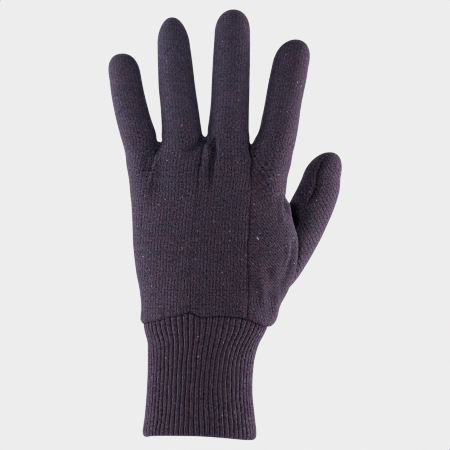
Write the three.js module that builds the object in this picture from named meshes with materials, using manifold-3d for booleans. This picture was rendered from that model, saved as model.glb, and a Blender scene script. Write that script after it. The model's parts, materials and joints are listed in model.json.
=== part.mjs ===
// Knitted cotton work glove, left hand, in the shape it has when it is worn.
// Millimetres. +Z runs from the wrist opening up to the fingertips, -Y is the
// back of the hand, +Y the palm, +X the thumb side. The origin is the centre
// of the wrist opening.
//
// The glove is cut and sewn: four strips make its back, each running from the
// cuff up to one fingertip, one panel makes the whole palm with the four finger
// fronts, two panels make the thumb, and a ribbed tube makes the cuff. Every
// panel is an open wall of cloth, so the hand goes in through the cuff.
import * as THREE from "three";
import { mergeVertices } from "three/addons/utils/BufferGeometryUtils.js";
import Module from "manifold-3d";

const wasm = await Module();
wasm.setup();

// ---- driving sizes --------------------------------------------------------
const JERSEY_WALL = 1.6; // thickness of the jersey cloth
const CUFF_WALL = 2.2; // thickness of the double ribbed cuff
const SEAM_GAP = 0.36; // space left between two panels at a seam
const CUFF_SIDES = 36; // points round the cuff
const THUMB_SIDES = 16; // points round the thumb
const FINGER_SIDES = 14; // points round a finger
const ACROSS = 4; // points across a finger's width between its two edges
const KNUCKLE_START = 148; // height where the hand begins to part into fingers
const KNUCKLE_END = 177.5; // height where the four fingers stand apart
const SIDE_TURN = 0.3; // how far round the hand's side its edge points lie, radians
const FAR = 120; // reach of the cutting solids past the glove

// ---- section tables -------------------------------------------------------
// Each row is one level section: left and right are its ends across the hand,
// back and palm its ends through the hand, square how boxy its outline is
// (2 is an ellipse).
const table = (names, rows) =>
  rows.map((r) => Object.fromEntries(names.map((n, i) => [n, r[i]])));
const SECTION = ["z", "left", "right", "back", "palm", "square"];

const HAND = table(SECTION, [
  [58, -31.0, 35.6, -20.4, 20.4, 2.1],
  [66, -33.4, 40.6, -21.8, 21.8, 2.1],
  [71.5, -35.0, 45.4, -22.6, 23.0, 2.1],
  [80, -34.9, 48.1, -21.8, 23.8, 2.1],
  [90, -35.8, 53.4, -20.6, 24.6, 2.2],
  [102, -38.2, 58.1, -19.6, 25.0, 2.3],
  [118, -40.0, 59.1, -18.6, 24.4, 2.4],
  [134, -40.4, 55.8, -17.8, 22.4, 2.4],
  [148, -41.3, 51.2, -17.2, 19.4, 2.4],
  [157, -42.1, 52.6, -16.6, 17.2, 2.4],
  [165, -43.1, 54.4, -15.8, 15.4, 2.4],
  [172, -44.5, 56.0, -14.8, 14.2, 2.3],
  [177.5, -45.8, 57.0, -14.0, 13.4, 2.3],
]);

const LITTLE = table(SECTION, [
  [160, -42.4, -24.0, -13.0, 11.6, 2.1],
  [177.5, -45.8, -24.1, -11.4, 11.4, 2.1],
  [184, -47.6, -26.4, -10.2, 11.2, 2.1],
  [195, -50.4, -29.7, -8.6, 11.6, 2.1],
  [208, -52.9, -33.5, -6.6, 12.4, 2.1],
  [219, -54.0, -35.6, -4.6, 13.4, 2.1],
  [226, -53.9, -37.9, -2.2, 13.2, 2.1],
  [230.6, -51.0, -40.8, 1.4, 11.2, 2.0],
]);
const RING = table(SECTION, [
  [160, -24.0, 2.6, -15.8, 13.0, 2.1],
  [177.5, -23.6, 4.2, -14.0, 12.8, 2.1],
  [186, -22.4, 1.2, -12.6, 12.4, 2.1],
  [198, -23.1, -1.0, -10.8, 12.2, 2.1],
  [213, -24.3, -3.1, -8.6, 13.0, 2.1],
  [228, -24.9, -4.9, -6.0, 14.4, 2.1],
  [240, -24.9, -6.6, -2.8, 15.2, 2.1],
  [248, -23.4, -9.5, 0.4, 14.8, 2.1],
  [252.4, -19.9, -12.8, 4.0, 12.2, 2.0],
]);
const MIDDLE = table(SECTION, [
  [160, 3.0, 30.4, -16.2, 13.2, 2.1],
  [177.5, 2.8, 30.6, -14.6, 13.0, 2.1],
  [186, 5.0, 29.1, -13.2, 12.6, 2.1],
  [199, 6.7, 29.4, -11.4, 12.4, 2.1],
  [215, 7.6, 29.8, -9.2, 13.0, 2.1],
  [231, 8.4, 30.1, -6.4, 14.6, 2.1],
  [243, 9.2, 30.1, -3.2, 15.4, 2.1],
  [251.5, 10.9, 29.2, 0.2, 14.8, 2.1],
  [256.6, 14.8, 25.4, 4.6, 12.0, 2.0],
]);
const INDEX = table(SECTION, [
  [160, 31.0, 53.6, -14.8, 12.8, 2.1],
  [177.5, 31.2, 57.1, -13.2, 12.8, 2.1],
  [184, 35.0, 58.4, -12.0, 12.6, 2.1],
  [193, 37.7, 59.8, -10.4, 12.4, 2.1],
  [204, 39.9, 61.6, -8.6, 12.8, 2.1],
  [216, 42.0, 63.7, -6.2, 13.6, 2.1],
  [226, 44.0, 65.5, -3.6, 14.4, 2.1],
  [233, 47.0, 65.6, -0.8, 14.0, 2.1],
  [238.4, 51.3, 62.8, 3.4, 11.6, 2.0],
]);
const THUMB = table(SECTION, [
  [80, 14.0, 38.0, -2.0, 19.0, 2.1],
  [92, 24.0, 54.6, -1.6, 23.4, 2.1],
  [105, 31.8, 63.9, 0.8, 27.4, 2.1],
  [118, 38.8, 71.4, 4.0, 30.4, 2.1],
  [131, 46.8, 77.4, 7.0, 32.2, 2.1],
  [142, 53.4, 81.8, 8.6, 32.6, 2.1],
  [152, 59.4, 84.7, 9.6, 32.2, 2.1],
  [160, 63.6, 85.6, 10.6, 31.2, 2.1],
  [166.5, 67.4, 85.2, 12.4, 29.0, 2.1],
  [171, 72.2, 83.2, 15.6, 25.2, 2.0],
]);
const CUFF = table(SECTION, [
  [0, -33.9, 33.9, -23.0, 23.0, 2.1],
  [4, -34.2, 34.1, -23.2, 23.2, 2.1],
  [14, -33.0, 33.1, -22.5, 22.5, 2.1],
  [30, -31.7, 31.7, -21.5, 21.5, 2.1],
  [46, -31.1, 32.6, -20.9, 20.9, 2.1],
  [57, -31.1, 35.4, -20.7, 20.7, 2.1],
  [66, -33.1, 39.9, -21.3, 21.3, 2.1],
  [79, -34.6, 43.4, -21.9, 21.9, 2.1],
]);

// The soft fold that stands up beside the seam between the ring finger and the
// middle finger, below the crotch: how far its ridge rises and its crease sinks.
const FOLD = table(["z", "ridge", "crease"], [
  [144, 0, 0],
  [154, 1.0, 0.5],
  [164, 1.6, 0.9],
  [171, 1.2, 0.7],
  [177.5, 0, 0],
]);
// Places of the points across the middle finger's strip, closer at the fold.
const FOLD_STEPS = [0.13, 0.28, 0.53, 0.77];

// The crotch between two fingers: height and place across the hand.
const CROTCH = {
  littleRing: { z: 177.7, x: -24.1 },
  ringMiddle: { z: 181.9, x: 3.5 },
  middleIndex: { z: 177.3, x: 30.7 },
};

// Fingertips: height of the end, and where it lies across and through.
const TIPS = {
  little: { z: 232.6, x: -45.9, y: 6.4 },
  ring: { z: 254.5, x: -16.4, y: 8.4 },
  middle: { z: 258.7, x: 20.2, y: 8.6 },
  index: { z: 241.3, x: 57.1, y: 7.8 },
  thumb: { z: 173.2, x: 78.4, y: 20.4 },
};

// ---- seam tables ----------------------------------------------------------
// Height and place across the hand of the seams on its back, from the cuff up
// past the crotch between two fingers and on through the gap between them.
const SEAM = ["z", "x"];
const SEAM_LITTLE_RING = table(SEAM, [
  [40, -33.2],
  [84, -33.6],
  [104, -34.6],
  [122, -34.7],
  [141, -34.0],
  [156, -31.0],
  [166, -28.1],
  [177.6, -24.1],
  [192, -25.7],
  [210, -29.0],
  [232, -33.0],
  [290, -36.0],
]);
const SEAM_RING_MIDDLE = table(SEAM, [
  [40, -4.9],
  [95, -4.9],
  [122, -4.0],
  [134, -2.9],
  [151, -1.0],
  [163, -0.4],
  [172, 1.2],
  [182, 3.5],
  [196, 2.8],
  [225, 1.8],
  [290, 1.2],
]);
const SEAM_MIDDLE_INDEX = table(SEAM, [
  [40, 28.0],
  [85, 28.7],
  [112, 28.7],
  [134, 29.8],
  [152, 30.6],
  [164, 31.3],
  [171, 31.1],
  [177.4, 30.7],
  [192, 33.3],
  [212, 36.1],
  [232, 38.6],
  [290, 44.0],
]);
// The thumb's seam, from its base up over its end.
const SEAM_THUMB = table(SEAM, [
  [60, 44.0],
  [110, 53.0],
  [128, 59.6],
  [140, 64.2],
  [148, 68.2],
  [156, 70.0],
  [164, 72.2],
  [169, 75.4],
  [178, 79.0],
]);
// Where the body is gathered on to the cuff, on the back of the hand and on
// its palm: place across and height.
const GATHER = ["x", "z"];
const CUFF_SEAM = table(GATHER, [
  [-120, 69.4],
  [-35, 69.8],
  [-26, 72.2],
  [-15, 75.0],
  [-8, 76.8],
  [-4, 77.2],
  [0, 75.4],
  [14, 74.9],
  [24, 74.2],
  [32, 71.6],
  [39, 68.6],
  [120, 68.0],
]);
// Height and depth of the line that parts the back of the hand from the palm.
const SIDE_SEAM = table(["z", "y"], [
  [40, 0.6],
  [90, 2.2],
  [140, 2.4],
  [176, 1.2],
  [196, 1.0],
  [214, 2.4],
  [232, 5.2],
  [246, 8.0],
  [290, 10.0],
]);

// ---- shape functions ------------------------------------------------------
// One point on a section, at the angle t from its thumb side round by the palm,
// pushed inwards by inset.
function onSection(row, t, inset) {
  const a = Math.max((row.right - row.left) / 2 - inset, 0.35),
    b = Math.max((row.palm - row.back) / 2 - inset, 0.35),
    c = Math.cos(t),
    s = Math.sin(t);
  return new THREE.Vector3(
    (row.left + row.right) / 2 + a * Math.sign(c) * Math.abs(c) ** (2 / row.square),
    (row.back + row.palm) / 2 + b * Math.sign(s) * Math.abs(s) ** (2 / row.square),
    row.z,
  );
}

// Rings of points on the sections of one table. inset moves them inwards along
// the outline's slope, so the same table makes the outside of the cloth and,
// one wall thickness in, its inside.
function sectionRings(rows, sides, inset, tip) {
  const half = rows.map((r) => (r.right - r.left) / 2);
  return rows.map((r, i) => {
    const lo = Math.max(i - 1, 0),
      last = tip && i === rows.length - 1;
    const rise = (last ? tip.z : rows[Math.min(i + 1, rows.length - 1)].z) - rows[lo].z,
      grow = (last ? 0 : half[Math.min(i + 1, rows.length - 1)]) - half[lo],
      slope = tip ? Math.hypot(rise, grow) : rise;
    const down = tip ? inset * Math.max(-grow / slope, 0) : 0;
    return Array.from({ length: sides }, (_, k) => {
      const p = onSection(r, (k * 2 * Math.PI) / sides, (inset * rise) / slope);
      p.z -= down;
      return p;
    });
  });
}

// A closed solid through the sections of one table, with a pointed end at tip if
// there is one, and carried straight down by foot.
function loft(rows, sides, inset = 0, tip = null, foot = 0) {
  const rings = sectionRings(rows, sides, inset, tip);
  if (foot) {
    rings.unshift(rings[0].map((p) => p.clone().setZ(p.z - foot)));
  }
  const points = rings.flat(),
    faces = [];
  for (let j = 0; j + 1 < rings.length; j++)
    for (let i = 0; i < sides; i++) {
      const a = j * sides + i,
        b = j * sides + ((i + 1) % sides),
        c = a + sides,
        d = b + sides;
      faces.push(a, b, d, a, d, c);
    }
  const centre = (list) =>
    list
      .reduce((s, p) => s.add(p), new THREE.Vector3())
      .divideScalar(list.length);
  const low = points.push(centre(rings[0])) - 1,
    last = rings.length - 1;
  const top = tip
    ? points.push(new THREE.Vector3(tip.x, tip.y, tip.z - inset)) - 1
    : points.push(centre(rings[last])) - 1;
  for (let i = 0; i < sides; i++) {
    const j = (i + 1) % sides;
    faces.push(low, j, i, top, last * sides + i, last * sides + j);
  }
  const g = new THREE.BufferGeometry().setFromPoints(points);
  g.setIndex(faces);
  return solid(g);
}

// A closed three.js geometry as a solid.
function solid(geometry) {
  const g = geometry.clone();
  g.deleteAttribute("normal");
  g.deleteAttribute("uv");
  const m = mergeVertices(g, 1e-4);
  return new wasm.Manifold(
    new wasm.Mesh({
      numProp: 3,
      vertProperties: new Float32Array(m.attributes.position.array),
      triVerts: new Uint32Array(m.index.array),
    }),
  );
}

// A straight bar with the given outline. The outline's two columns are named by
// across and up, and the bar runs along the third direction.
function bar(points, basis) {
  const shape = new THREE.Shape(points.map(([u, v]) => new THREE.Vector2(u, v)));
  const g = new THREE.ExtrudeGeometry(shape, {
    depth: 2 * FAR,
    bevelEnabled: false,
  });
  g.translate(0, 0, -FAR);
  g.applyMatrix4(new THREE.Matrix4().makeBasis(...basis));
  return solid(g);
}
const X = new THREE.Vector3(1, 0, 0),
  Y = new THREE.Vector3(0, 1, 0),
  Z = new THREE.Vector3(0, 0, 1);
// Outline across and up, bar through the hand; and outline through and up, bar across.
const throughHand = (points) => bar(points, [X, Z, Y.clone().negate()]);
const acrossHand = (points) => bar(points, [Y, Z, X]);

// Everything between two seams on the back of the hand.
function between(leftSeam, rightSeam) {
  const g = SEAM_GAP / 2;
  const left = leftSeam
    ? leftSeam.map((r) => [r.x + g, r.z])
    : [
        [-FAR, 40],
        [-FAR, 290],
      ];
  const right = rightSeam
    ? rightSeam.map((r) => [r.x - g, r.z])
    : [
        [FAR, 40],
        [FAR, 290],
      ];
  return throughHand([...right, ...left.reverse()]);
}
// Everything on one side of the side seam: side -1 is the back, +1 the palm.
function halfOf(side) {
  const g = (side * SEAM_GAP) / 2;
  const edge = SIDE_SEAM.map((r) => [r.y + g, r.z]);
  return side < 0
    ? acrossHand([...edge, [-FAR, 290], [-FAR, 40]])
    : acrossHand([[FAR, 40], [FAR, 290], ...edge.reverse()]);
}
// Everything above or below the seam where the body meets the cuff.
const aboveCuff = throughHand([
  ...CUFF_SEAM.map((r) => [r.x, r.z + SEAM_GAP / 2]),
  [FAR, 300],
  [-FAR, 300],
]);
const belowBody = throughHand([
  [-FAR, -10],
  [FAR, -10],
  ...CUFF_SEAM.map((r) => [r.x, r.z - SEAM_GAP / 2]).reverse(),
]);

// ---- the hand's wall ------------------------------------------------------
// One row of a table at any height, straight between the rows given.
function at(rows, z) {
  const i = Math.min(
    Math.max(rows.findIndex((r) => r.z > z), 1),
    rows.length - 1,
  );
  const lo = rows[i - 1],
    hi = rows[i];
  const k = THREE.MathUtils.clamp((z - lo.z) / (hi.z - lo.z), 0, 1);
  return Object.fromEntries(
    Object.keys(lo).map((n) => [n, THREE.MathUtils.lerp(lo[n], hi[n], k)]),
  );
}

// The four fingers from the thumb side across, with the seam on each one's far side.
const FINGERS = [
  { rows: INDEX, tip: TIPS.index, seam: SEAM_MIDDLE_INDEX, crotch: CROTCH.middleIndex },
  { rows: MIDDLE, tip: TIPS.middle, seam: SEAM_RING_MIDDLE, crotch: CROTCH.ringMiddle },
  { rows: RING, tip: TIPS.ring, seam: SEAM_LITTLE_RING, crotch: CROTCH.littleRing },
  { rows: LITTLE, tip: TIPS.little },
];

// The hand and its four fingers as one closed skin, pushed inwards by inset. The
// hand's sections start as one rounded outline and part gradually into the four
// finger outlines, which share an edge at each crotch.
function handSolid(inset, foot) {
  const points = [],
    faces = [];
  const put = (v) => points.push(v) - 1;
  const gap = (a, b) => points[a].distanceTo(points[b]);
  const skin = (low, high) =>
    low.forEach((a, i) => {
      const b = low[(i + 1) % low.length],
        c = high[(i + 1) % low.length],
        d = high[i];
      if (gap(a, c) <= gap(b, d)) faces.push(a, b, c, a, c, d);
      else faces.push(a, b, d, b, c, d);
    });
  const step = (2 * Math.PI) / FINGER_SIDES;

  // The angle on a hand section at which it crosses a seam, kept off its far side.
  const angle = (row, x) => {
    const u = (x - (row.left + row.right) / 2) / ((row.right - row.left) / 2 - inset);
    const c = Math.sign(u) * Math.min(Math.abs(u), 1) ** (row.square / 2);
    return Math.min(Math.acos(c), Math.PI - 2 * SIDE_TURN);
  };
  // Points of the hand at one height, side +1 for the palm and -1 for the back.
  function handSide(z, side, part, lift) {
    const row = at(HAND, z),
      list = [];
    let from = SIDE_TURN;
    FINGERS.forEach((f, n) => {
      const own = at(f.rows, Math.max(z, f.rows[0].z));
      const to = f.seam ? angle(row, at(f.seam, z).x) : Math.PI - SIDE_TURN;
      const folded = side < 0 && n === 1;
      for (let k = 0; k <= ACROSS + 1; k++) {
        if (k === 0 && n > 0) continue;
        const share = folded && k > 0 && k <= ACROSS ? 1 - FOLD_STEPS[ACROSS - k] : k / (ACROSS + 1);
        const p = onSection(row, side * THREE.MathUtils.lerp(from, to, share), inset);
        const q = onSection(own, side * (k + 1) * step, inset);
        if (k === ACROSS + 1 && f.seam) {
          q.set(f.crotch.x, q.y, z + f.crotch.z - KNUCKLE_END);
        }
        p.lerp(q, part);
        if (folded && k === ACROSS) p.y -= at(FOLD, z).ridge;
        if (folded && k === ACROSS - 1) p.y += at(FOLD, z).crease;
        p.z -= lift;
        list.push(p);
      }
      from = to;
    });
    return list;
  }
  function handRing(z, part, lift) {
    const row = at(HAND, z);
    const sideOf = (f, t) => {
      const p = onSection(row, t, inset);
      p.lerp(onSection(at(f.rows, Math.max(z, f.rows[0].z)), t, inset), part);
      p.z -= lift;
      return p;
    };
    return [
      sideOf(FINGERS[0], 0),
      ...handSide(z, 1, part, lift),
      sideOf(FINGERS[3], Math.PI),
      ...handSide(z, -1, part, lift).reverse(),
    ];
  }

  const heights = HAND.map((r) => r.z).filter((z) => z < KNUCKLE_END);
  const rings = heights.map((z) =>
    handRing(z, Math.max((z - KNUCKLE_START) / (KNUCKLE_END - KNUCKLE_START), 0) ** 2, 0).map(put),
  );
  rings.push(handRing(KNUCKLE_END, 1, inset).map(put));
  if (foot) {
    rings.unshift(
      rings[0].map((i) => put(points[i].clone().setZ(points[i].z - foot))),
    );
  }
  const base = rings[0].reduce((v, i) => v.add(points[i]), new THREE.Vector3());
  const floor = put(base.divideScalar(rings[0].length));
  rings[0].forEach((a, i) => faces.push(floor, rings[0][(i + 1) % rings[0].length], a));
  for (let i = 0; i + 1 < rings.length; i++) skin(rings[i], rings[i + 1]);

  // The fingers, each from its own loop of the last ring.
  const top = rings[rings.length - 1],
    n = top.length,
    span = ACROSS + 1;
  const webs = FINGERS.slice(0, 3).map((f) =>
    put(new THREE.Vector3(f.crotch.x, 0.4, f.crotch.z - inset * 1.2)),
  );
  FINGERS.forEach((f, i) => {
    const palmSide = [],
      backSide = [];
    for (let k = 0; k <= span; k++) {
      palmSide.push(top[1 + i * span + k]);
      backSide.push(top[n - 1 - i * span - k]);
    }
    const right = i === 0 ? top[0] : webs[i - 1];
    const left = i === 3 ? top[n / 2] : webs[i];
    let loop = [right, ...palmSide, left, ...backSide.reverse()];
    sectionRings(f.rows.filter((r) => r.z > KNUCKLE_END), FINGER_SIDES, inset, f.tip).forEach((r) => {
      const next = r.map(put);
      skin(loop, next);
      loop = next;
    });
    const end = put(new THREE.Vector3(f.tip.x, f.tip.y, f.tip.z - inset));
    loop.forEach((a, j) => faces.push(end, a, loop[(j + 1) % loop.length]));
  });
  const g = new THREE.BufferGeometry().setFromPoints(points);
  g.setIndex(faces);
  return solid(g);
}
const thumbSolid = (inset) => loft(THUMB, THUMB_SIDES, inset, TIPS.thumb);

const hand = handSolid(0, 0)
  .subtract(handSolid(JERSEY_WALL, 10))
  .subtract(thumbSolid(JERSEY_WALL))
  .intersect(aboveCuff);
const back = hand.intersect(halfOf(-1));
const thumb = thumbSolid(0)
  .subtract(thumbSolid(JERSEY_WALL))
  .subtract(handSolid(-SEAM_GAP, 0));
const cuff = loft(CUFF, CUFF_SIDES)
  .subtract(loft(CUFF, CUFF_SIDES, CUFF_WALL, null, 5))
  .intersect(belowBody);

// ---- the glove ------------------------------------------------------------
const jersey = () =>
  new THREE.MeshStandardMaterial({
    color: new THREE.Color(0.045, 0.036, 0.05),
    roughness: 0.95,
    metalness: 0,
  });
const ribbed = () =>
  new THREE.MeshStandardMaterial({
    color: new THREE.Color(0.042, 0.033, 0.046),
    roughness: 0.95,
    metalness: 0,
  });

const glove = new THREE.Group();
glove.name = "work_glove";

// One named panel of cloth. A cut can leave a crumb beside the panel, so the
// panel is the largest body that is left.
function panel(name, made, material) {
  const whole = made
    .decompose()
    .reduce((a, b) => (b.volume() > a.volume() ? b : a));
  const m = whole.getMesh(),
    n = m.numProp;
  const position = new Float32Array(m.numVert * 3);
  for (let i = 0; i < m.numVert; i++)
    position.set(m.vertProperties.subarray(i * n, i * n + 3), i * 3);
  const g = new THREE.BufferGeometry().setAttribute(
    "position",
    new THREE.BufferAttribute(position, 3),
  );
  g.setIndex(new THREE.BufferAttribute(new Uint32Array(m.triVerts), 1));
  g.computeVertexNormals();
  const mesh = new THREE.Mesh(g, material);
  mesh.name = name;
  glove.add(mesh);
}

panel("cuff", cuff, ribbed());
panel("palm_panel", hand.intersect(halfOf(1)), jersey());
panel(
  "back_strip_little",
  back.intersect(between(null, SEAM_LITTLE_RING)),
  jersey(),
);
panel(
  "back_strip_ring",
  back.intersect(between(SEAM_LITTLE_RING, SEAM_RING_MIDDLE)),
  jersey(),
);
panel(
  "back_strip_middle",
  back.intersect(between(SEAM_RING_MIDDLE, SEAM_MIDDLE_INDEX)),
  jersey(),
);
panel(
  "back_strip_index",
  back.intersect(between(SEAM_MIDDLE_INDEX, null)),
  jersey(),
);
panel(
  "thumb_inner_panel",
  thumb.intersect(between(null, SEAM_THUMB)),
  jersey(),
);
panel(
  "thumb_outer_panel",
  thumb.intersect(between(SEAM_THUMB, null)),
  jersey(),
);

export default glove;
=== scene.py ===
import math

import bpy
import numpy as np
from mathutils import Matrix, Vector, kdtree
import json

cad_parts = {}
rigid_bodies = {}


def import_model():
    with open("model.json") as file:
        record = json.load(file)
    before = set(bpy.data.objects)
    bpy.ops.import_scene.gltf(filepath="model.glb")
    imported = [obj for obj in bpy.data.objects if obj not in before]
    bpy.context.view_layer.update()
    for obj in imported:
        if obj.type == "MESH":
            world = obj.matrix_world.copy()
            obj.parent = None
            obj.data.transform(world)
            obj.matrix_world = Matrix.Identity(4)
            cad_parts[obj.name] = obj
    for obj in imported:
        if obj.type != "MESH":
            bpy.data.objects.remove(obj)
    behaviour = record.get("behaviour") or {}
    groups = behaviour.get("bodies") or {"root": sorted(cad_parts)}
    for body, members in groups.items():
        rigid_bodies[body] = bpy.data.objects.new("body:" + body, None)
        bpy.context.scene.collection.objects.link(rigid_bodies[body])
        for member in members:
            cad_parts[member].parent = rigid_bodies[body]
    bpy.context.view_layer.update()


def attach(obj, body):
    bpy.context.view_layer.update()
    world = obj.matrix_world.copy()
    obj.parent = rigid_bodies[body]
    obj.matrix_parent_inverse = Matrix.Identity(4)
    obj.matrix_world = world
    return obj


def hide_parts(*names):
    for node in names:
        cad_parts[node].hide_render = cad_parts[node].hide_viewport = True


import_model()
MM = 0.001

# ---------------------------------------------------------------------------
# The glove's shape, in millimetres: the same level sections as the solids.
# z, left, right, back, palm, squareness
# ---------------------------------------------------------------------------
HAND = [
    (58, -31.0, 35.6, -20.4, 20.4, 2.1),
    (66, -33.4, 40.8, -21.8, 21.8, 2.1),
    (72, -35.1, 45.4, -22.6, 23.0, 2.1),
    (80, -34.9, 48.1, -21.8, 23.8, 2.1),
    (90, -35.8, 53.4, -20.6, 24.6, 2.2),
    (102, -38.2, 58.0, -19.6, 25.0, 2.3),
    (118, -40.0, 59.0, -18.6, 24.4, 2.4),
    (126, -40.3, 57.8, -18.2, 23.5, 2.4),
    (134, -40.6, 55.4, -17.8, 22.4, 2.4),
    (141, -41.0, 54.2, -17.6, 21.0, 2.4),
    (148, -41.4, 51.0, -17.4, 19.4, 2.4),
    (157, -41.6, 51.0, -16.8, 17.2, 2.4),
    (165, -42.4, 52.8, -15.8, 15.2, 2.3),
]
LITTLE = [
    (140, -37.5, -23.0, -11.5, 9.0, 2.1),
    (158, -41.2, -24.4, -13.4, 11.4, 2.1),
    (177.5, -45.8, -24.1, -11.6, 11.4, 2.1),
    (184, -47.6, -25.9, -10.4, 11.2, 2.1),
    (195, -50.4, -29.7, -8.7, 11.6, 2.1),
    (208, -52.9, -33.5, -6.6, 12.4, 2.1),
    (217, -54.0, -35.4, -4.9, 13.2, 2.1),
]
RING = [
    (140, -22.0, -1.0, -12.5, 11.0, 2.1),
    (158, -23.4, 2.0, -16.0, 12.8, 2.1),
    (177.5, -23.9, 4.0, -14.4, 12.8, 2.1),
    (186, -22.8, 1.0, -12.8, 12.4, 2.1),
    (198, -23.3, -0.7, -11.0, 12.2, 2.1),
    (213, -24.5, -2.6, -8.7, 13.0, 2.1),
    (228, -25.0, -4.4, -6.0, 14.4, 2.1),
    (238, -25.0, -5.8, -3.6, 15.0, 2.1),
]
MIDDLE = [
    (140, 6.0, 27.0, -12.8, 11.0, 2.1),
    (158, 3.8, 29.6, -16.4, 13.0, 2.1),
    (177.5, 2.9, 30.2, -14.9, 13.0, 2.1),
    (186, 5.1, 29.1, -13.4, 12.6, 2.1),
    (199, 6.7, 29.4, -11.6, 12.4, 2.1),
    (215, 7.5, 29.9, -9.3, 13.0, 2.1),
    (231, 8.2, 30.4, -6.4, 14.6, 2.1),
    (243, 8.8, 30.5, -3.4, 15.4, 2.1),
]
INDEX = [
    (140, 32.5, 48.0, -11.5, 10.0, 2.1),
    (158, 31.4, 51.4, -15.0, 12.6, 2.1),
    (177.5, 31.8, 57.0, -13.5, 12.8, 2.1),
    (184, 35.4, 58.4, -12.2, 12.6, 2.1),
    (193, 37.7, 59.8, -10.5, 12.4, 2.1),
    (204, 39.9, 61.6, -8.6, 12.8, 2.1),
    (216, 42.0, 64.2, -6.2, 13.6, 2.1),
    (225, 43.9, 65.7, -3.9, 14.4, 2.1),
]
THUMB = [
    (80, 14.0, 38.0, -2.0, 19.0, 2.1),
    (92, 24.0, 54.6, -1.6, 23.4, 2.1),
    (105, 31.8, 63.9, 0.8, 27.4, 2.1),
    (118, 38.8, 71.4, 4.0, 30.4, 2.1),
    (131, 46.8, 77.6, 7.0, 32.2, 2.1),
    (142, 53.4, 82.0, 8.6, 32.6, 2.1),
    (151, 59.0, 84.4, 9.5, 32.2, 2.1),
    (158, 62.3, 84.9, 10.2, 31.4, 2.1),
]
CUFF = [
    (0, -33.9, 33.9, -23.0, 23.0, 2.1),
    (4, -34.2, 34.1, -23.2, 23.2, 2.1),
    (14, -33.0, 33.1, -22.5, 22.5, 2.1),
    (30, -31.7, 31.7, -21.5, 21.5, 2.1),
    (46, -31.1, 32.6, -20.9, 20.9, 2.1),
    (57, -31.1, 35.4, -20.7, 20.7, 2.1),
    (66, -33.1, 39.9, -21.3, 21.3, 2.1),
    (79, -34.6, 43.4, -21.9, 21.9, 2.1),
]
# Rounded ends: height of the end, its place across and through, roundness.
TIPS = {
    "hand": (178.6, 6.2, 0.4, 3.0),
    "little": (232.0, -46.8, 6.2, 3.0),
    "ring": (254.0, -16.5, 8.2, 1.6),
    "middle": (258.9, 20.4, 8.6, 2.45),
    "index": (240.7, 57.9, 7.6, 2.4),
    "thumb": (172.7, 78.6, 20.6, 2.0),
}

# Seams on the back of the hand: height, place across.
SEAM_LITTLE_RING = [(40, -33.2), (84, -33.7), (104, -34.5), (122, -34.6), (131, -34.4),
                    (141, -33.8), (156, -31.0), (161, -29.6), (166, -28.1), (171, -26.6),
                    (177.6, -24.1), (192, -25.7), (210, -29.0), (232, -33.0), (290, -36.0)]
SEAM_RING_MIDDLE = [(40, -4.9), (95, -4.9), (113, -4.5), (122, -4.0), (134, -2.9), (151, -1.1),
                    (158, -0.7), (163, -0.3), (168, 1.0), (172, 1.3), (176, 2.2), (182, 3.5),
                    (196, 2.8), (225, 1.8), (290, 1.2)]
SEAM_MIDDLE_INDEX = [(40, 28.0), (75, 28.3), (85, 28.9), (98, 29.1), (108, 28.6), (116, 28.6),
                     (122, 29.4), (134, 29.9), (141, 30.0), (153, 30.8), (161, 30.6),
                     (165, 31.3), (170, 31.1), (174.8, 30.4), (178, 30.7), (192, 33.3),
                     (212, 36.1), (232, 38.6), (290, 44.0)]
SEAM_THUMB = [(60, 44.0), (110, 52.0), (120, 56.6), (129, 60.6), (137.4, 64.0), (140.3, 64.6),
              (144.2, 66.3), (148, 68.6), (152.5, 70.1), (156, 70.6), (159.4, 71.2),
              (164, 72.8), (167, 73.8), (169.5, 76.0), (174, 79.5), (190, 84)]
SIDE_SEAM = [(40, 0.6), (90, 2.2), (140, 2.4), (176, 1.2), (196, 1.0), (214, 2.4),
             (232, 5.2), (246, 8.0), (290, 10.0)]
# The gathered seam between body and cuff: place across, height.
CUFF_SEAM = [(-60, 69.3), (-38, 69.3), (-34.9, 69.7), (-31, 70.8), (-25.7, 72.0), (-18.3, 74.1),
             (-11.6, 75.4), (-7.6, 76.7), (-5.2, 77.1), (-3.0, 76.2), (-0.6, 74.9), (3, 74.6),
             (9, 74.9), (14, 74.9), (21.8, 74.3), (27.9, 73.1), (32.6, 70.9), (36, 69.5),
             (40, 68.2), (46, 67.8), (60, 67.8)]

# ---------------------------------------------------------------------------
# Fields: how far a point is outside the cloth
# ---------------------------------------------------------------------------
ZT = np.arange(-8.0, 280.0, 0.1)


def smooth_curve(xs, ys, q):
    """A smooth curve through the points xs, ys, read at q."""
    xs, ys = np.asarray(xs, float), np.asarray(ys, float)
    h = np.diff(xs)
    s = np.diff(ys) / h
    m = np.empty_like(ys)
    m[0], m[-1] = s[0], s[-1]
    same = s[:-1] * s[1:] > 0
    w1, w2 = 2 * h[1:] + h[:-1], h[1:] + 2 * h[:-1]
    with np.errstate(divide="ignore", invalid="ignore"):
        hm = (w1 + w2) / (w1 / s[:-1] + w2 / s[1:])
    av = (s[:-1] * h[1:] + s[1:] * h[:-1]) / (h[1:] + h[:-1])
    m[1:-1] = np.where(same, 0.5 * (hm + av), 0.0)
    q = np.clip(q, xs[0], xs[-1])
    i = np.clip(np.searchsorted(xs, q, side="right") - 1, 0, len(xs) - 2)
    t = (q - xs[i]) / h[i]
    t2, t3 = t * t, t * t * t
    return ((2 * t3 - 3 * t2 + 1) * ys[i] + (t3 - 2 * t2 + t) * h[i] * m[i]
            + (3 * t2 - 2 * t3) * ys[i + 1] + (t3 - t2) * h[i] * m[i + 1])


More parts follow.
